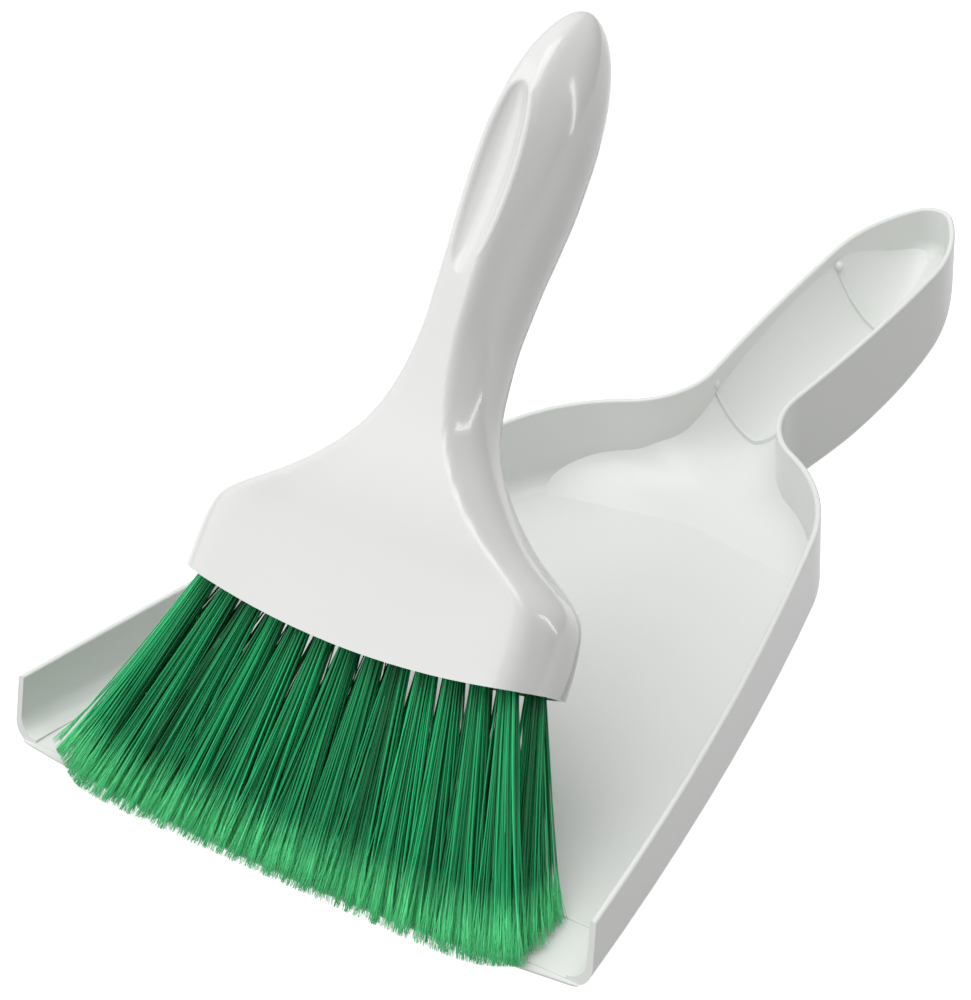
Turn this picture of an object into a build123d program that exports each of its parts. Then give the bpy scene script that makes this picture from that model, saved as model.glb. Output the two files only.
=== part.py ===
from build123d import *
import math
import os

# Dustpan with a trough handle, and a whisk brush that stands on its bristle tips in the
# mouth of the pan and leans back over it.
# Millimetres. +X right, +Y from the mouth to the handle, +Z up. The origin is on the floor,
# in the middle of the mouth.

os.makedirs("parts", exist_ok=True)

# ---------------------------------------------------------------- driving dimensions: pan
pan_wall = 2.4
front_wall_height = 25.0
front_wall_lean = 5.0        # how far the top of each wall's front edge stands back
lip_half_width = 127.0
lip_bow = 8.5                # how far the middle of the lip stands in front of its ends
lip_edge_thickness = 0.9
floor_thickness = 2.4
crease_y = 25.0              # from here forward the floor thins down to the lip
crease_width = 1.6
crease_height = 0.6
outer_round = 8.0            # between floor and walls, outside and inside
inner_round = 7.5
rim_round = 0.9

# plan of the pan, from the end of the handle to the mouth, as tangent arcs: (radius, degrees),
# the neck bending the other way
plan_height = 70.0           # above the whole pan
plan_tip_y = 450.8
plan_arcs = [(11.1, 50.4), (67.8, 38.5), (996.0, 5.9), (34.9, -66.7), (74.7, 45.0), (1679.3, 7.9)]
plan_overrun = 60.0          # straight on past the mouth, to be cut away

# side view, (y, z): the rim, and the underside where the handle's end rises off the floor
rim_side = [(-30.0, 24.2), (100.0, 28.7), (200.0, 34.2), (300.0, 41.3), (400.0, 50.2), (470.0, 57.8)]
keel_start_y = 332.0
keel_side = [(366.0, 2.2), (398.0, 7.8), (421.0, 16.0), (438.0, 26.5), (462.0, 50.0)]

# the trough of the handle and the ramp up to it: (y, half width, middle z, z at that width)
trough_sections = [
    (214.0, 112.0, -6.0, -4.0),
    (236.0, 84.0, -1.0, 4.0),
    (256.0, 56.0, 3.6, 14.0),
    (274.0, 35.0, 7.6, 25.0),
    (290.0, 24.5, 11.0, 35.0),
    (303.0, 21.8, 13.0, 41.0),
    (350.0, 22.6, 14.6, 45.5),
    (402.0, 23.0, 17.5, 50.5),
    (424.0, 22.0, 23.0, 53.0),
    (440.0, 21.0, 31.0, 55.5),
    (456.0, 20.0, 44.0, 58.0),
]
trough_step = 11.0
trough_power = 1.5           # 1 is a V, 2 half an ellipse
trough_bottom = -10.0
trough_points = 8
pocket_depth_below = 3.0     # plastic left between the trough and the pocket under it
pocket_inset = 8.6
pocket_start_y = 291.0

# two low ribs across the trough carry the brush's handle, and end in a nub on each wall: (y, nub z)
rib_thickness = 2.2
rib_proud = 1.7
nub_radius = 2.2
handle_ribs = [(303.0, 34.5), (402.0, 43.5)]

# -------------------------------------------------------------- driving dimensions: brush
brush_lean = 52.3            # degrees between the brush's axis and the floor
brush_foot = Vector(-2.7, 0.4, -9.8)
shell_wall = 2.4
rim_middle = 83.0            # the head's lower rim above the foot, along the axis
rim_arch = 9.0               # how much higher the two ends of that rim are
rim_arch_half_width = 79.0
cavity_top = 122.0
block_recess = 3.0
block_top = 106.0
fit_gap = 0.1

# the shell along the axis: (height, half width, half width of the front face, distance of the
# front face and of the back from the axis, rounding between the front face and the sides)
shell_sections = [
    (70.0, 79.0, 74.0, 20.0, 20.0, 11.0),
    (94.0, 79.0, 74.0, 20.0, 20.5, 11.0),
    (108.0, 77.6, 72.8, 20.2, 20.8, 10.0),
    (117.0, 74.8, 69.0, 20.6, 20.8, 8.0),
    (122.0, 70.6, 63.5, 21.0, 20.6, 6.0),
    (127.0, 63.0, 55.0, 21.6, 20.2, 4.5),
    (132.0, 54.0, 46.6, 22.0, 20.0, 3.5),
    (138.0, 45.2, 37.8, 22.3, 19.6, 2.8),
    (146.0, 36.4, 28.6, 22.2, 18.8, 2.5),
    (155.0, 28.6, 20.8, 21.7, 17.2, 2.4),
    (165.0, 22.8, 15.2, 21.1, 15.6, 2.4),
    (174.0, 19.8, 12.0, 21.1, 15.2, 2.4),
    (186.0, 17.6, 9.3, 21.6, 15.8, 2.4),
    (200.0, 16.3, 7.9, 22.6, 16.4, 2.4),
    (220.0, 16.8, 7.8, 24.3, 17.8, 2.4),
    (236.0, 17.9, 8.0, 25.4, 19.6, 2.4),
    (252.0, 18.7, 8.0, 26.2, 20.6, 2.4),
    (268.0, 18.8, 7.6, 26.6, 20.0, 2.5),
    (282.0, 17.8, 7.0, 25.6, 18.6, 3.0),
    (294.0, 15.4, 6.4, 22.4, 17.2, 3.8),
    (302.0, 12.8, 6.0, 18.6, 15.4, 4.4),
    (309.0, 9.6, 5.2, 13.4, 12.4, 4.2),
    (314.0, 6.2, 3.6, 8.0, 8.6, 2.4),
    (316.6, 3.4, 2.0, 3.8, 5.0, 1.2),
    (317.6, 1.2, 0.8, 1.0, 2.0, 0.4),
]
back_power = 2.4             # squareness of the back: 2 is an ellipse
head_back_power = 3.2
head_height = 117.0          # the head's back is square up to here, and rounder above
back_blend = 40.0
flat_shares = (0.0, 0.45, 0.8, 1.0)   # where the points lie across half of the flat front
corner_turns = (20, 40)      # degrees round the corner between the front face and a side
side_points = 5
back_points = 6

# thumb recess in the front of the handle: a long spindle sunk into it
recess_middle = 250.0
recess_half_length = 39.0
recess_radius = 8.0
recess_depth = 6.0
recess_round = 1.6

# ------------------------------------------------------------ driving dimensions: bristles
tuft_rows = [(8.6, 13, 122.0), (0.0, 14, 134.0), (-8.6, 13, 122.0)]   # (ahead of the axis, tufts, span)
hole_depth = 9.5
hole_radius = 3.5
tuft_root_radius = 3.0
anchor_height = 0.8
anchor_thickness = 0.6
anchor_length = 5.0
tip_span = 186.0             # between the middles of the outermost tufts, at their tips
tip_half_width = 6.3
tip_half_depth = 5.3
tip_centre_x = 1.0
tip_rows = [(-8.5, 1.7), (3.5, 2.3), (15.5, 2.9)]   # (y, z) of the tips, row by row


def smooth(heights, values, height):
    """Value at a height on a smooth curve through the given values, with no overshoot."""
    steps = [(b - a) for a, b in zip(heights, heights[1:])]
    slopes = [(b - a) / step for a, b, step in zip(values, values[1:], steps)]
    tangents = [slopes[0]]
    for before, after in zip(slopes, slopes[1:]):
        tangents.append(2 * before * after / (before + after) if before * after > 0 else 0.0)
    tangents.append(slopes[-1])
    place = max(k for k, start in enumerate(heights[:-1]) if start <= height or k == 0)
    t = (height - heights[place]) / steps[place]
    return (
        values[place] * (2 * t**3 - 3 * t**2 + 1)
        + tangents[place] * steps[place] * (t**3 - 2 * t**2 + t)
        + values[place + 1] * (3 * t**2 - 2 * t**3)
        + tangents[place + 1] * steps[place] * (t**3 - t**2)
    )


def sizes_at(table, at):
    """Every size in a table of sections, at a place between them."""
    places = [row[0] for row in table]
    return [smooth(places, list(column), at) for column in list(zip(*table))[1:]]


# ----------------------------------------------------------------------------- the dustpan
def plan(inset):
    """Outline of the pan seen from above at plan_height, moved inwards by inset."""
    with BuildSketch(Plane.XY.offset(plan_height)) as outline:
        with BuildLine():
            at = (0, plan_tip_y - inset)
            heading = (1, 0)
            for radius, degrees in plan_arcs:
                moved = radius - math.copysign(inset, degrees)
                arc = JernArc(start=at, tangent=heading, radius=moved, arc_size=-degrees)
                at = arc @ 1
                heading = arc % 1
            side = Line(at, at + heading * plan_overrun)
            Line(side @ 1, (0, (side @ 1).Y))
            mirror(about=Plane.YZ)
        make_face()
    return outline.sketch


def side_view(underside, rim_shift):
    """Side view of the pan: underside lists its (y, z) points from the front to the keel."""
    raised = underside[-1][1]
    keel = [(y, z + raised) for y, z in keel_side]
    rim = [(y, z + rim_shift) for y, z in reversed(rim_side)]
    front = (underside[0][0], rim[-1][1])
    with BuildSketch(Plane.YZ) as view:
        with BuildLine():
            Polyline(*underside)
            Spline(underside[-1], *keel, tangents=[(1, 0), (1, 1)])
            Line(keel[-1], rim[0])
            Spline(*rim)
            Polyline(rim[-1], front, underside[0])
        make_face()
    return view.sketch


def lower_edges(part):
    """Edges where the underside meets the sides, but not the one along the mouth."""
    edges = ShapeList()
    for face in part.faces().filter_by(lambda face: face.normal_at().Z < -0.5):
        edges.extend(edge for edge in face.edges() if abs((edge @ 0.5).X) > middle_edge)
    return edges


front_y = -40.0              # well in front of the lip
above_rim = 60.0
open_above = 20.0            # the inside goes on this far above the rim
middle_edge = 2.0            # the underside's edge along the mouth is centred nearer the axis than this
lip_slope = (floor_thickness - lip_edge_thickness) / (crease_y + lip_bow)
outer_floor = [(front_y, 0.0), (keel_start_y, 0.0)]
inner_floor = [(front_y, floor_thickness), (keel_start_y, floor_thickness)]


def pan_body(inset, underside, rim_shift):
    """The pan's outline, moved inwards by inset, between an underside and the shifted rim."""
    with BuildPart() as body:
        extrude(plan(inset), amount=-plan_height * 2)
        extrude(side_view(underside, rim_shift), amount=lip_half_width * 2, both=True, mode=Mode.INTERSECT)
    return body.part


def trough_face(y, raise_by):
    """Everything below the trough's surface at y, with that surface raised by raise_by."""
    half_width, middle_z, side_z = sizes_at(trough_sections, y)
    surface = []
    for step in range(-trough_points, trough_points + 1):
        t = step / trough_points
        bend = 1 - (1 - abs(t) ** trough_power) ** (1 / trough_power)
        surface.append((half_width * t, middle_z + (side_z - middle_z) * bend + raise_by))
    with BuildSketch(Plane.XZ.offset(-y)) as face:
        with BuildLine():
            Spline(*surface)
            Polyline(surface[-1], (half_width, trough_bottom), (-half_width, trough_bottom), surface[0])
        make_face()
    return face.sketch


def trough_filler(raise_by):
    """Everything below the trough's surface, from the ramp to the end of the handle."""
    start = trough_sections[0][0]
    count = round((trough_sections[-1][0] - start) / trough_step)
    with BuildPart() as filler:
        loft([trough_face(start + trough_step * k, raise_by) for k in range(count + 1)])
    return filler.part


with BuildPart() as hollow:
    add(pan_body(pan_wall, inner_floor, open_above))
    fillet(lower_edges(hollow), inner_round)
    with BuildPart(mode=Mode.PRIVATE) as thinning:
        with BuildSketch(Plane.YZ):
            lip_top = floor_thickness - lip_slope * (crease_y - front_y)
            Polygon(
                (crease_y, floor_thickness), (front_y, lip_top), (front_y, floor_thickness), align=None
            )
        extrude(amount=lip_half_width, both=True)
        extrude(plan(pan_wall + inner_round), amount=-plan_height * 2, mode=Mode.INTERSECT)
    add(thinning.part)

with BuildPart() as trough:
    add(trough_filler(0.0))
    add(hollow.part, mode=Mode.INTERSECT)

with BuildPart() as pocket:
    add(trough_filler(-pocket_depth_below))
    with BuildSketch(Plane.XY.offset(trough_bottom)):
        with Locations((0, pocket_start_y)):
            Rectangle(lip_half_width, plan_tip_y, align=(Align.CENTER, Align.MIN))
        add(plan(pocket_inset), mode=Mode.INTERSECT)
    extrude(amount=plan_height * 2, mode=Mode.INTERSECT)

with BuildPart() as mouth_cut:
    with BuildSketch(Plane.YZ):
        lean = front_wall_lean / front_wall_height
        Polygon(
            (lip_edge_thickness * lean, lip_edge_thickness),
            (above_rim * lean, above_rim),
            (front_y * 2, above_rim),
            (front_y * 2, lip_edge_thickness),
            align=None,
        )
    extrude(amount=lip_half_width * 2, both=True)

with BuildPart() as lip_shape:
    with BuildSketch():
        with BuildLine():
            ThreePointArc((-lip_half_width, 0), (0, -lip_bow), (lip_half_width, 0))
            Polyline(
                (lip_half_width, 0),
                (lip_half_width * 2, 0),
                (lip_half_width * 2, plan_tip_y * 2),
                (-lip_half_width * 2, plan_tip_y * 2),
                (-lip_half_width * 2, 0),
                (-lip_half_width, 0),
            )
        make_face()
    extrude(amount=plan_height * 2, both=True)

with BuildPart() as crease:
    with BuildSketch(Plane.YZ):
        with Locations((crease_y, floor_thickness)):
            Ellipse(crease_width / 2, crease_height)
    extrude(amount=lip_half_width, both=True)
    add(hollow.part, mode=Mode.INTERSECT)

with BuildPart() as ribs:
    for rib_y, nub_z in handle_ribs:
        with BuildPart(mode=Mode.PRIVATE) as rib:
            extrude(trough_face(rib_y, rib_proud), amount=rib_thickness / 2, both=True)
            with BuildSketch(Plane.XY.offset(nub_z)):
                Rectangle(lip_half_width, plan_tip_y * 2)
            extrude(amount=-plan_height * 2, mode=Mode.INTERSECT)
        add(rib.part)
        half_width, middle_z, side_z = sizes_at(trough_sections, rib_y)
        for side in (-1, 1):
            with Locations((side * (half_width - pan_wall), rib_y, nub_z)):
                Sphere(nub_radius)
    add(hollow.part, mode=Mode.INTERSECT)

with BuildPart() as pan:
    add(pan_body(0.0, outer_floor, 0.0))
    fillet(lower_edges(pan), outer_round)
    add(hollow.part, mode=Mode.SUBTRACT)
    add(mouth_cut.part, mode=Mode.SUBTRACT)
    add(lip_shape.part, mode=Mode.INTERSECT)
    rim_edges = ShapeList()
    for face in pan.faces().filter_by(lambda face: face.normal_at().Z > 0.9):
        if face.center().Z > front_wall_height:
            rim_edges.extend(edge for edge in face.edges() if edge.length > rim_round * 4)
    fillet(rim_edges, rim_round)
    add(crease.part)
    add(trough.part)
    add(pocket.part, mode=Mode.SUBTRACT)
    add(ribs.part)
pan.part.label = "pan"
export_step(pan.part, "parts/pan.step")


# ------------------------------------------------------------------------------- the brush
axis = Vector(0, math.cos(math.radians(brush_lean)), math.sin(math.radians(brush_lean)))
forward = Vector(0, -axis.Z, axis.Y)


def at_brush(x, height, ahead):
    """Point at x across the brush, at a height along its axis and ahead of the axis."""
    return brush_foot + Vector(x, 0, 0) + axis * height + forward * ahead


def across(height):
    """Plane across the brush at a height along its axis, x to the right and y backwards."""
    return Plane(origin=at_brush(0, height, 0), x_dir=(1, 0, 0), z_dir=axis)


def turned(points):
    """A closed run of points: these from the front round one side to the back, then the other side."""
    other = [(-x, y) for x, y in reversed(points[1:-1])]
    return points + other


def section(height, inset):
    """Points round the shell's section at a height: a flat front, swelling sides and a round back."""
    half_width, front_half_width, front, back, corner = sizes_at(shell_sections, height)
    half_width -= inset
    front_half_width -= inset
    front -= inset
    back -= inset
    blend = min(max((height - head_height) / back_blend, 0.0), 1.0)
    power = head_back_power + (back_power - head_back_power) * blend
    flat = front_half_width - corner
    points = [(flat * share, -front) for share in flat_shares]
    for turn in (math.radians(degrees) for degrees in corner_turns):
        points.append((flat + corner * math.sin(turn), -front + corner * (1 - math.cos(turn))))
    corner_x, corner_y = points[-1]
    for step in range(1, side_points + 1):
        y = corner_y * (1 - step / side_points)
        points.append((half_width - (half_width - corner_x) * (y / corner_y) ** 2, y))
    for step in range(1, back_points + 1):
        turn = math.pi / 2 * step / back_points
        x = half_width * abs(math.cos(turn)) ** (2 / power)
        points.append((x, back * math.sin(turn) ** (2 / power)))
    points[-1] = (0.0, back)
    return turned(points)


def sections_at(heights, inset):
    """Sketches of the shell's sections at these heights, each moved inwards by inset."""
    sketches = []
    for height in heights:
        with BuildSketch(across(height)) as sketch:
            with BuildLine():
                Spline(*section(height, inset), periodic=True)
            make_face()
        sketches.append(sketch.sketch)
    return sketches


cut_reach = 60.0             # either side of the axis, wider than the head is deep


def arched_cut(raise_by):
    """Everything below the head's arched rim, raised by raise_by, seen from the front."""
    with BuildSketch(Plane(origin=brush_foot, x_dir=(1, 0, 0), z_dir=forward)) as view:
        with BuildLine():
            end = rim_middle + rim_arch + raise_by
            ThreePointArc(
                (-rim_arch_half_width, end), (0, rim_middle + raise_by), (rim_arch_half_width, end)
            )
            Polyline(
                (rim_arch_half_width, end),
                (rim_arch_half_width * 1.3, end + rim_arch / 2),
                (rim_arch_half_width * 1.3, 0),
                (-rim_arch_half_width * 1.3, 0),
                (-rim_arch_half_width * 1.3, end + rim_arch / 2),
                (-rim_arch_half_width, end),
            )
        make_face()
    return view.sketch


body_start = shell_sections[0][0]
body_end = 302.0
body_step = 8.0
body_heights = [body_start + body_step * k for k in range(int((body_end - body_start) / body_step) + 1)]
tip_heights = [row[0] for row in shell_sections if row[0] > body_end + body_step / 2]
shell_heights = body_heights + tip_heights
cavity_heights = [height for height in body_heights if height < cavity_top]

with BuildPart() as cavity:
    loft(sections_at(cavity_heights, shell_wall))

recess_front = sizes_at(shell_sections, recess_middle)[2]
recess_centre = at_brush(0, recess_middle, recess_front + recess_radius - recess_depth)
with BuildPart() as spindle:
    with BuildSketch(Plane(origin=recess_centre, x_dir=axis, z_dir=(1, 0, 0))):
        Ellipse(recess_half_length, recess_radius)
        Rectangle(
            recess_half_length * 2, recess_radius, align=(Align.CENTER, Align.MAX), mode=Mode.SUBTRACT
        )
    revolve(axis=Axis(recess_centre, axis))

with BuildPart() as shell:
    loft(sections_at(shell_heights, 0.0))
    extrude(arched_cut(0.0), amount=cut_reach, both=True, mode=Mode.SUBTRACT)
    add(spindle.part, mode=Mode.SUBTRACT)
    recess_edges = [
        edge for edge in shell.edges()
        if (edge.center() - recess_centre).length < recess_half_length and edge.length > recess_radius
    ]
    fillet(recess_edges, recess_round)
    add(cavity.part, mode=Mode.SUBTRACT)
shell.part.label = "brush_shell"
export_step(shell.part, "parts/brush_shell.step")


# ---------------------------------------------------------------- tuft block, tufts, wires
class Tuft:
    """Where one tuft starts in the block and where its tips end."""

    def __init__(self, row, column):
        ahead, count, span = tuft_rows[row]
        place = column / (count - 1) - 0.5
        across_x = place * span
        arch = rim_arch * (across_x / rim_arch_half_width) ** 2
        tip_y, tip_z = tip_rows[row]
        self.name = f"tuft_{row + 1}_{column + 1:02d}"
        self.root = at_brush(across_x, rim_middle + block_recess + hole_depth + arch, ahead)
        self.tip = Vector(tip_centre_x + place * tip_span, tip_y, tip_z)
        self.down = (self.tip - self.root).normalized()


tufts = []
for row, (ahead, count, span) in enumerate(tuft_rows):
    tufts.extend(Tuft(row, column) for column in range(count))

with BuildPart() as block:
    loft(sections_at(cavity_heights, shell_wall + fit_gap))
    extrude(arched_cut(block_recess), amount=cut_reach, both=True, mode=Mode.SUBTRACT)
    split(bisect_by=across(block_top), keep=Keep.BOTTOM)
    for tuft in tufts:
        with BuildSketch(Plane(origin=tuft.root, z_dir=tuft.down)):
            Circle(hole_radius)
        extrude(amount=hole_depth * 2, mode=Mode.SUBTRACT)
block.part.label = "tuft_block"
export_step(block.part, "parts/tuft_block.step")

for tuft in tufts:
    with BuildPart() as bristles:
        with BuildSketch(Plane(origin=tuft.root + tuft.down * anchor_height, z_dir=tuft.down)):
            Circle(tuft_root_radius)
        with BuildSketch(Plane.XY.offset(tuft.tip.Z)):
            with Locations((tuft.tip.X, tuft.tip.Y)):
                Ellipse(tip_half_width, tip_half_depth)
        loft()
    bristles.part.label = tuft.name
    export_step(bristles.part, f"parts/{tuft.name}.step")

with BuildPart() as wires:
    for tuft in tufts:
        with BuildSketch(Plane(origin=tuft.root, x_dir=tuft.down.cross(forward), z_dir=tuft.down)):
            Rectangle(anchor_length, anchor_thickness)
        extrude(amount=anchor_height)
wires.part.label = "anchor_wires"
export_step(wires.part, "parts/anchor_wires.step")
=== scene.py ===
import math

import bpy
import numpy as np
from mathutils import Matrix, Vector


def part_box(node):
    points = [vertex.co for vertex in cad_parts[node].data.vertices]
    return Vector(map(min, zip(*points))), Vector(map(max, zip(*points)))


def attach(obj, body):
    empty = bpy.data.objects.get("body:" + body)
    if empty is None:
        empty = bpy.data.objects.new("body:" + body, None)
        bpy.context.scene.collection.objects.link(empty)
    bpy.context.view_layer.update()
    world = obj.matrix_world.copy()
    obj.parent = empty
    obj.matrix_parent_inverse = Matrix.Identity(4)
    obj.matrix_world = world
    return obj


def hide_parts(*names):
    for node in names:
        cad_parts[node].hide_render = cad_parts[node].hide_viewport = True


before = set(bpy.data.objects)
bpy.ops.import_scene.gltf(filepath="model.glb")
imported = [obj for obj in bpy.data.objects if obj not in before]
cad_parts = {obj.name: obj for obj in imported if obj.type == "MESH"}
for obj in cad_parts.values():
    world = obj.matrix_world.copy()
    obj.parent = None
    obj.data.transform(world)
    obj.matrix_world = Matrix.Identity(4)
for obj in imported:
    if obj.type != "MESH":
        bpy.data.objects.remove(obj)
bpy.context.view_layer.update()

# Everything is in metres, in the frame of the CAD model. The pan's mouth faces -Y.
MM = 0.001

# ------------------------------------------------------------------ places read from the frame
pan_low, pan_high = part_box("pan")
tuft_names = sorted(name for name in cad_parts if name.startswith("tuft_") and name != "tuft_block")
brush_lean = math.radians(52.3)
brush_axis = np.array([0.0, math.cos(brush_lean), math.sin(brush_lean)])
brush_forward = np.array([0.0, -brush_axis[2], brush_axis[1]])


def node_points(name):
    """The corners of a CAD node's mesh, one row each."""
    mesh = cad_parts[name].data
    flat = np.empty(len(mesh.vertices) * 3)
    mesh.vertices.foreach_get("co", flat)
    return flat.reshape(-1, 3)


def tuft_ends(name):
    """Middle of the root and middle of the tips of a tuft."""
    points = node_points(name)
    low = points[points[:, 2] < points[:, 2].min() + 0.1 * MM]
    tip = (low.min(axis=0) + low.max(axis=0)) / 2
    direction = brush_axis
    for _ in range(3):
        reach = points @ direction
        root = points[reach > reach.max() - 0.15 * MM].mean(axis=0)
        direction = (root - tip) / np.linalg.norm(root - tip)
    return root, tip


# ----------------------------------------------------------------------------- node helpers
def new_material(name):
    """A material with a Principled shader; returns the material, its nodes, links and shader."""
    material = bpy.data.materials.new(name)
    material.use_nodes = True
    tree = material.node_tree
    return material, tree.nodes, tree.links, tree.nodes["Principled BSDF"]


def noise(nodes, links, scale, detail, coordinates):
    """A noise pattern of this scale, in cells per metre."""
    pattern = nodes.new("ShaderNodeTexNoise")
    pattern.inputs["Scale"].default_value = scale
    pattern.inputs["Detail"].default_value = detail
    links.new(coordinates, pattern.inputs["Vector"])
    return pattern.outputs["Fac"]


def spread(nodes, links, value, low, high, start=0.3, end=0.7):
    """Maps the range from start to end, which holds most of a noise, to the range from low to high."""
    change = nodes.new("ShaderNodeMapRange")
    change.inputs["From Min"].default_value = start
    change.inputs["From Max"].default_value = end
    change.inputs["To Min"].default_value = low
    change.inputs["To Max"].default_value = high
    links.new(value, change.inputs["Value"])
    return change.outputs["Result"]


def tinted(nodes, links, factor, first, second):
    """A colour between two, by a factor from 0 to 1."""
    ramp = nodes.new("ShaderNodeValToRGB")
    ramp.color_ramp.elements[0].color = (*first, 1.0)
    ramp.color_ramp.elements[1].color = (*second, 1.0)
    links.new(factor, ramp.inputs["Fac"])
    return ramp.outputs["Color"]


def bumped(nodes, links, shader, height, strength, distance):
    """Gives the shader a relief from a height pattern."""
    relief = nodes.new("ShaderNodeBump")
    relief.inputs["Strength"].default_value = strength
    relief.inputs["Distance"].default_value = distance
    links.new(height, relief.inputs["Height"])
    links.new(relief.outputs["Normal"], shader.inputs["Normal"])


def moulded_plastic(name, first, second, roughness, grain, relief, coat=0.0):
    """Moulded plastic: slightly uneven in tint and gloss, with a fine grain."""
    material, nodes, links, shader = new_material(name)
    place = nodes.new("ShaderNodeTexCoord").outputs["Object"]
    broad = noise(nodes, links, 14.0, 3.0, place)
    links.new(tinted(nodes, links, broad, first, second), shader.inputs["Base Color"])
    fine = noise(nodes, links, grain, 4.0, place)
    links.new(spread(nodes, links, fine, *roughness), shader.inputs["Roughness"])
    bumped(nodes, links, shader, fine, relief, 0.0001)
    shader.inputs["IOR"].default_value = 1.5
    shader.inputs["Coat Weight"].default_value = coat
    shader.inputs["Coat Roughness"].default_value = 0.06
    return material


pan_plastic = moulded_plastic(
    "pan_satin_plastic", (0.695, 0.712, 0.69), (0.72, 0.735, 0.715), (0.30, 0.38), 900.0, 0.12
)
brush_plastic = moulded_plastic(
    "brush_gloss_plastic", (0.65, 0.655, 0.64), (0.67, 0.675, 0.66), (0.15, 0.19), 500.0, 0.012, 0.3
)
block_plastic = moulded_plastic(
    "block_plastic", (0.68, 0.69, 0.66), (0.72, 0.73, 0.70), (0.40, 0.50), 700.0, 0.15
)


def staple_wire():
    """Drawn steel wire, lightly scratched."""
    material, nodes, links, shader = new_material("staple_wire")
    place = nodes.new("ShaderNodeTexCoord").outputs["Object"]
    streaks = noise(nodes, links, 2500.0, 2.0, place)
    steel = tinted(nodes, links, streaks, (0.52, 0.50, 0.46), (0.62, 0.61, 0.58))
    links.new(steel, shader.inputs["Base Color"])
    links.new(spread(nodes, links, streaks, 0.25, 0.4), shader.inputs["Roughness"])
    shader.inputs["Metallic"].default_value = 1.0
    return material


def bristle_fibre():
    """Green fibre: each filament has its own shade, and the split tips are paler and duller."""
    material, nodes, links, shader = new_material("bristle_fibre")
    shade = nodes.new("ShaderNodeAttribute")
    shade.attribute_name = "shade"
    along = nodes.new("ShaderNodeAttribute")
    along.attribute_name = "along"
    body = tinted(nodes, links, shade.outputs["Fac"], (0.001, 0.12, 0.035), (0.018, 0.60, 0.21))
    split = tinted(nodes, links, shade.outputs["Fac"], (0.075, 0.62, 0.23), (0.17, 0.90, 0.39))
    paler = spread(nodes, links, along.outputs["Fac"], 0.0, 1.0, 0.76, 0.90)
    blend = nodes.new("ShaderNodeMix")
    blend.data_type = "RGBA"
    links.new(paler, blend.inputs["Factor"])
    links.new(body, blend.inputs["A"])
    links.new(split, blend.inputs["B"])
    links.new(blend.outputs["Result"], shader.inputs["Base Color"])
    duller = spread(nodes, links, along.outputs["Fac"], 0.36, 0.62, 0.74, 0.90)
    links.new(duller, shader.inputs["Roughness"])
    shader.inputs["Specular IOR Level"].default_value = 0.35
    return material


bristle_material = bristle_fibre()


def finish_node(name, material):
    """Gives a carried-over CAD node its material."""
    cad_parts[name].material_slots[0].material = material


finish_node("pan", pan_plastic)
finish_node("brush_shell", brush_plastic)
finish_node("tuft_block", block_plastic)
finish_node("anchor_wires", staple_wire())

# --------------------------------------------------------------------------------- bristles
filaments_per_tuft = 60
filament_radius = 0.34 * MM
filament_sides = 4
filament_steps = np.linspace(0, 1, 11)
filament_widths = (0.85, 1.12)         # the thinnest and the thickest, as shares of filament_radius
filament_taper = [1.0, 0.9, 0.3]       # at the root, shortly before the split and at the end
taper_lead = 0.05                      # how far before the split the filament starts to thin
filament_shade = 0.42
filament_shade_scatter = 0.22
hairs_per_filament = 9
hair_radius = 0.105 * MM
hair_sides = 3
hair_steps = np.linspace(0, 1, 5)
hair_taper = [1.2, 0.6]
hair_lengths = (0.93, 1.0)
hair_fan = 1.15 * MM
hair_bend = 0.45 * MM
hair_shade = (0.1, 0.2)                # how much paler than its filament, and the scatter of that
split_at = 0.78               # where along a filament it splits into hairs, before any scatter
split_scatter = 0.025
hair_split_range = (-0.02, 0.05)

root_spread = 3.05 * MM       # half of a tuft's width at its root
tip_spread = np.array([9.2, 6.4]) * MM
early_fan = 0.58              # 1 fans out evenly from the root, 0 only near the tips
clumps_per_tuft = 9
clump_reach = 0.9             # how far from the tuft's middle a clump may gather
clump_pull = 0.22
clump_shade_scatter = 0.20
clump_split_scatter = 0.035
end_scatter = 0.17
bow_size = 1.2 * MM
stray_share = 0.03            # share of filaments that bow out further
stray_bow = 2.2

# the cut: level, with a front that is nearly straight, and trimmed at both outer corners
front_line = -13.6 * MM       # the front of the cut, in the middle
front_sweep = 7.0 * MM        # how far it turns back towards the corners
front_power = 8
half_cut = 100.0 * MM
left_uneven = 0.12            # how much of the unevenness of the hairs' ends the cut leaves
trimmed_corner = 85.0 * MM
corner_rises = (7.0 * MM, 1.5 * MM)    # left and right
corner_reach = 13.0 * MM

side = np.array([1.0, 0.0, 0.0])
back = np.array([0.0, 1.0, 0.0])


def disc(count, draw):
    """Points spread evenly over a unit disc, a little uneven."""
    index = np.arange(count) + 0.5
    radius = np.sqrt(index / count)
    turn = index * math.pi * (3.0 - math.sqrt(5.0)) + draw.uniform(0, 2 * math.pi)
    points = np.stack([radius * np.cos(turn), radius * np.sin(turn)], axis=1)
    return points + draw.normal(0.0, 0.03, points.shape)


def bezier(start, middle, end, steps):
    """Quadratic curves, one row each."""
    t = steps[None, :, None]
    return (1 - t) ** 2 * start[:, None] + 2 * t * (1 - t) * middle[:, None] + t**2 * end[:, None]


def cut_height(x, lowest):
    """Height at which the bristles are cut, across the brush: level, and rising at the two corners."""
    beyond = np.clip((np.abs(x - centre_x) - trimmed_corner) / corner_reach, 0, 1)
    return lowest + np.where(x < centre_x, *corner_rises) * beyond**2


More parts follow.
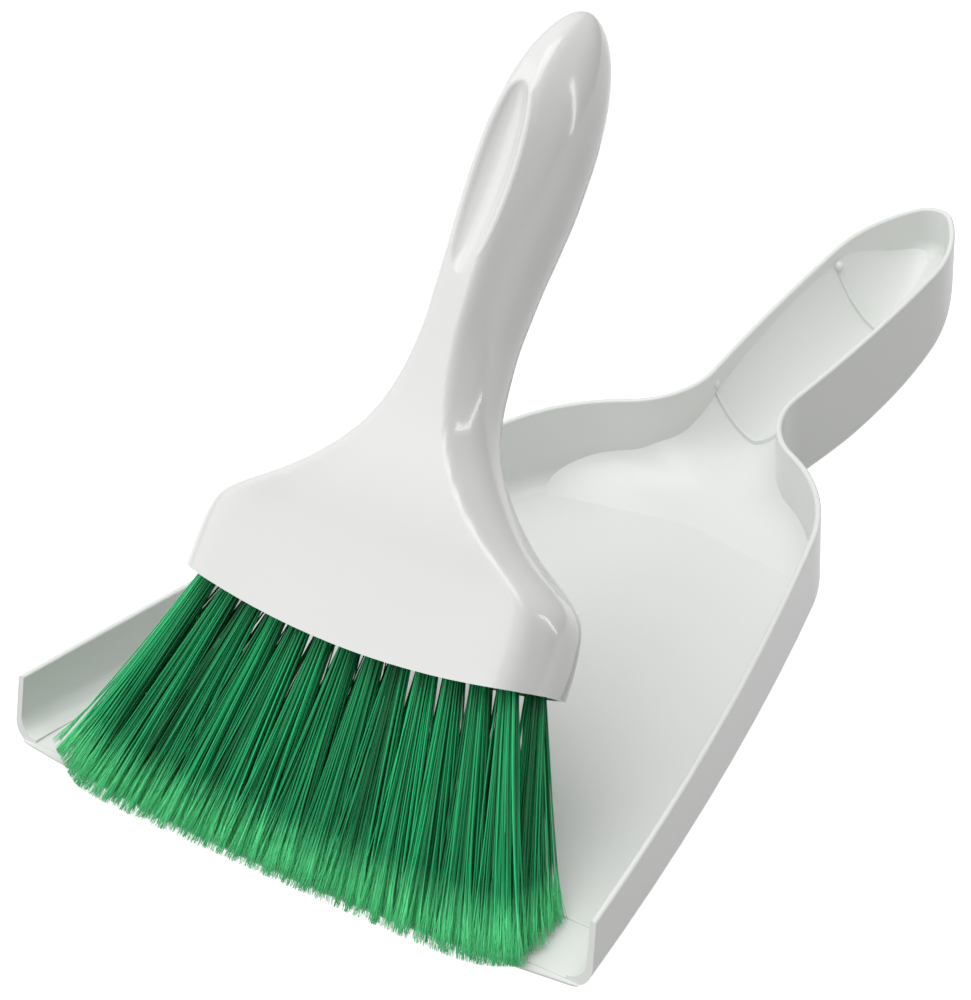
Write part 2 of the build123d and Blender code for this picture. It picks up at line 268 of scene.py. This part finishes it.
def behind_front(points):
    """Keeps points behind the front of the cut, which is nearly straight and turns back at both ends."""
    front = front_line + front_sweep * (np.abs(points[:, 0] - centre_x) / half_cut) ** front_power
    points[:, 1] = np.maximum(points[:, 1], front)


def tubes(paths, radii, sides):
    """Corners and faces of closed tubes round these paths."""
    count, length, _ = paths.shape
    tangent = np.gradient(paths, axis=1)
    tangent /= np.linalg.norm(tangent, axis=2, keepdims=True)
    first = np.cross(tangent, brush_forward)
    first /= np.linalg.norm(first, axis=2, keepdims=True)
    second = np.cross(tangent, first)
    turn = 2 * math.pi * np.arange(sides) / sides
    ring = first[:, :, None] * np.cos(turn)[:, None] + second[:, :, None] * np.sin(turn)[:, None]
    corners = paths[:, :, None] + ring * radii[:, :, None, None]
    number = np.arange(count * length * sides).reshape(count, length, sides)
    after = np.roll(number, -1, axis=2)
    walls = np.stack([number[:, :-1], after[:, :-1], after[:, 1:], number[:, 1:]], axis=-1)
    faces = walls.reshape(-1, 4).tolist()
    faces += number[:, -1].tolist() + number[:, 0, ::-1].tolist()
    return corners.reshape(-1, 3), faces


def directions(root, tip):
    """Unit vectors down a tuft, across it to the right, and ahead of it."""
    down = (tip - root) / np.linalg.norm(tip - root)
    across = np.cross(down, brush_forward)
    across /= np.linalg.norm(across)
    across *= np.sign(across[0])
    ahead = np.cross(across, down)
    ahead *= np.sign(ahead @ brush_forward)
    return down, across, ahead


def fibre_piece(name, corners, faces, shade, along):
    """The tuft's visible mesh, in place of its CAD solid."""
    mesh = bpy.data.meshes.new(name.replace("tuft", "bristles"))
    mesh.from_pydata(corners, [], faces)
    for attribute, values in (("shade", shade), ("along", along)):
        layer = mesh.attributes.new(attribute, "FLOAT", "POINT")
        layer.data.foreach_set("value", values.astype(np.float32))
    mesh.shade_smooth()
    mesh.materials.append(bristle_material)
    piece = bpy.data.objects.new(mesh.name, mesh)
    bpy.context.scene.collection.objects.link(piece)
    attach(piece, "brush")
    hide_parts(name)


def split_hairs(draw, filaments, split_point, shades, across, ahead, lowest):
    """The finer hairs that each filament splits into; returns corners, faces, shades and places along."""
    start, middle, end = filaments
    split = np.repeat(split_point, hairs_per_filament)
    split += draw.uniform(*hair_split_range, len(split))
    owner = np.repeat(np.arange(filaments_per_tuft), hairs_per_filament)
    count = len(owner)
    t = split[:, None]
    origin = (1 - t) ** 2 * start[owner] + 2 * t * (1 - t) * middle[owner] + t**2 * end[owner]
    lead = (end - middle)[owner]
    lead /= np.linalg.norm(lead, axis=1, keepdims=True)
    remaining = np.linalg.norm(end[owner] - origin, axis=1, keepdims=True)
    fan = draw.normal(0.0, 1.0, (count, 2)) * hair_fan
    bend = draw.normal(0.0, 1.0, (count, 2)) * hair_bend
    reach = origin + lead * remaining * draw.uniform(*hair_lengths, (count, 1))
    reach += across * fan[:, :1] + ahead * fan[:, 1:]
    behind_front(reach)
    cut = cut_height(reach[:, 0], lowest)
    reach[:, 2] = cut + np.maximum(reach[:, 2] - cut, 0.0) * left_uneven
    half = origin + lead * remaining * 0.5 + across * bend[:, :1] + ahead * bend[:, 1:]
    taper = np.tile(np.interp(hair_steps, [0, 1], hair_taper) * hair_radius, (count, 1))
    corners, faces = tubes(bezier(origin, half, reach, hair_steps), taper, hair_sides)
    hair_shades = np.clip(shades[owner] + draw.normal(*hair_shade, count), 0, 1)
    shade = np.repeat(hair_shades, len(hair_steps) * hair_sides)
    along = np.repeat((t + (1 - t) * hair_steps).reshape(-1), hair_sides)
    return corners, faces, shade, along


def tuft(name, seed):
    """One tuft of filaments with split tips."""
    draw = np.random.default_rng(seed)
    root, tip = tuft_ends(name)
    down, across, ahead = directions(root, tip)
    length = np.linalg.norm(tip - root)

    at = disc(filaments_per_tuft, draw)
    clumps = draw.uniform(-clump_reach, clump_reach, (clumps_per_tuft, 2))
    clump_shades = draw.normal(0.0, clump_shade_scatter, clumps_per_tuft)
    clump_splits = draw.normal(0.0, clump_split_scatter, clumps_per_tuft)
    nearest = np.argmin(np.linalg.norm(at[:, None] - clumps[None], axis=2), axis=1)
    squared = at * np.linalg.norm(at, axis=1, keepdims=True) / np.abs(at).max(axis=1, keepdims=True)
    pulled = squared * (1 - clump_pull) + clumps[nearest] * clump_pull
    end_at = pulled + draw.normal(0.0, end_scatter, at.shape)

    start = root + (across * at[:, :1] + ahead * at[:, 1:]) * root_spread
    end = tip + side * end_at[:, :1] * tip_spread[0] - back * end_at[:, 1:] * tip_spread[1]
    bow = draw.normal(0.0, bow_size, (filaments_per_tuft, 2))
    stray = draw.uniform(0, 1, filaments_per_tuft) < stray_share
    bow[stray] *= stray_bow
    middle = (start + end) / 2 * early_fan + (start + down * length / 2) * (1 - early_fan)
    middle += across * bow[:, :1] + ahead * bow[:, 1:]
    behind_front(end)
    end[:, 2] = cut_height(end[:, 0], tip[2])

    radii = filament_radius * draw.uniform(*filament_widths, (filaments_per_tuft, 1))
    taper = np.interp(filament_steps, [0, split_at - taper_lead, 1], filament_taper)
    corners, faces = tubes(bezier(start, middle, end, filament_steps), radii * taper, filament_sides)
    scatter = draw.normal(0.0, filament_shade_scatter, filaments_per_tuft)
    shades = np.clip(filament_shade + clump_shades[nearest] + scatter, 0, 1)
    shade = np.repeat(shades, len(filament_steps) * filament_sides)
    along = np.tile(np.repeat(filament_steps, filament_sides), filaments_per_tuft)

    split_point = split_at + clump_splits[nearest] + draw.normal(0.0, split_scatter, filaments_per_tuft)
    hair_corners, hair_faces, shade_of_hairs, hair_along = split_hairs(
        draw, (start, middle, end), split_point, shades, across, ahead, tip[2]
    )
    faces += [[corner + len(corners) for corner in face] for face in hair_faces]
    fibre_piece(
        name,
        np.concatenate([corners, hair_corners]),
        faces,
        np.concatenate([shade, shade_of_hairs]),
        np.concatenate([along, hair_along]),
    )


tips_x = [tuft_ends(name)[1][0] for name in tuft_names]
centre_x = (min(tips_x) + max(tips_x)) / 2
for seed, name in enumerate(tuft_names):
    tuft(name, seed)

# ------------------------------------------------------------------------ floor and backdrop
floor_size = 14.0


def studio_floor():
    """A wide floor that glows nearly white, as an overlit sweep does, and throws no diffuse light up."""
    mesh = bpy.data.meshes.new("studio_floor")
    half = floor_size / 2
    low = -0.3 * MM
    corners = [(-half, -half, low), (half, -half, low), (half, half, low), (-half, half, low)]
    mesh.from_pydata(corners, [], [(0, 1, 2, 3)])
    material, nodes, links, shader = new_material("pale_floor")
    shader.inputs["Base Color"].default_value = (0.4, 0.4, 0.4, 1.0)
    shader.inputs["Roughness"].default_value = 0.9
    shader.inputs["Emission Color"].default_value = (1.0, 1.0, 1.0, 1.0)
    shader.inputs["Emission Strength"].default_value = 0.92
    mesh.materials.append(material)
    floor = bpy.data.objects.new("studio_floor", mesh)
    bpy.context.scene.collection.objects.link(floor)
    floor.visible_diffuse = False


studio_floor()


def studio_world():
    """Soft light from all round, brightest from the upper left and the front."""
    world = bpy.data.worlds.new("studio")
    bpy.context.scene.world = world
    world.use_nodes = True
    nodes = world.node_tree.nodes
    links = world.node_tree.links
    towards = nodes.new("ShaderNodeVectorMath")
    towards.operation = "DOT_PRODUCT"
    towards.inputs[1].default_value = (-0.52, -0.46, 0.72)
    links.new(nodes.new("ShaderNodeTexCoord").outputs["Generated"], towards.inputs[0])
    strength = spread(nodes, links, towards.outputs["Value"], 0.10, 0.82, -1.0, 1.0)
    nodes["Background"].inputs["Color"].default_value = (1.0, 1.0, 1.0, 1.0)
    links.new(strength, nodes["Background"].inputs["Strength"])


studio_world()

middle = Vector(((pan_low.x + pan_high.x) / 2, (pan_low.y + pan_high.y) / 2, 0.0))


def softbox(name, place, aim, width, height, power):
    """A rectangular studio lamp at a place from the middle of the pan, facing a point."""
    lamp = bpy.data.lights.new(name, "AREA")
    lamp.shape = "RECTANGLE"
    lamp.size = width
    lamp.size_y = height
    lamp.energy = power
    holder = bpy.data.objects.new(name, lamp)
    holder.location = middle + Vector(place)
    holder.rotation_euler = (middle + Vector(aim) - holder.location).to_track_quat("-Z", "Y").to_euler()
    bpy.context.scene.collection.objects.link(holder)


softbox("key_softbox", (-1.2, -1.4, 1.6), (0.0, -0.05, 0.05), 2.3, 2.3, 18.0)
softbox("top_softbox", (0.1, -0.2, 1.9), (0.0, 0.0, 0.0), 1.5, 1.5, 17.0)
softbox("edge_strip", (1.4, 0.50, 0.55), (0.0, -0.1, 0.1), 0.10, 0.7, 1.8)

# ----------------------------------------------------------------------------------- camera
view_turn = math.radians(37.18)      # to the right of straight ahead
view_down = math.radians(32.08)
view_roll = math.radians(2.24)
view_distance = 1.332
view_lens = 119.02
view_target = middle + Vector((-0.0787, 0.0040, 0.0))

camera_data = bpy.data.cameras.new("camera")
camera_data.lens = view_lens
camera_data.sensor_width = 36.0
camera = bpy.data.objects.new("camera", camera_data)
bpy.context.scene.collection.objects.link(camera)
ahead = Vector(
    (
        -math.sin(view_turn) * math.cos(view_down),
        math.cos(view_turn) * math.cos(view_down),
        -math.sin(view_down),
    )
)
level = Vector((math.cos(view_turn), math.sin(view_turn), 0.0))
above = level.cross(ahead)
right = level * math.cos(view_roll) - above * math.sin(view_roll)
up = right.cross(ahead)
camera.matrix_world = Matrix((right, up, -ahead)).transposed().to_4x4()
camera.location = view_target - ahead * view_distance
bpy.context.scene.camera = camera
bpy.context.scene.view_settings.view_transform = "Standard"
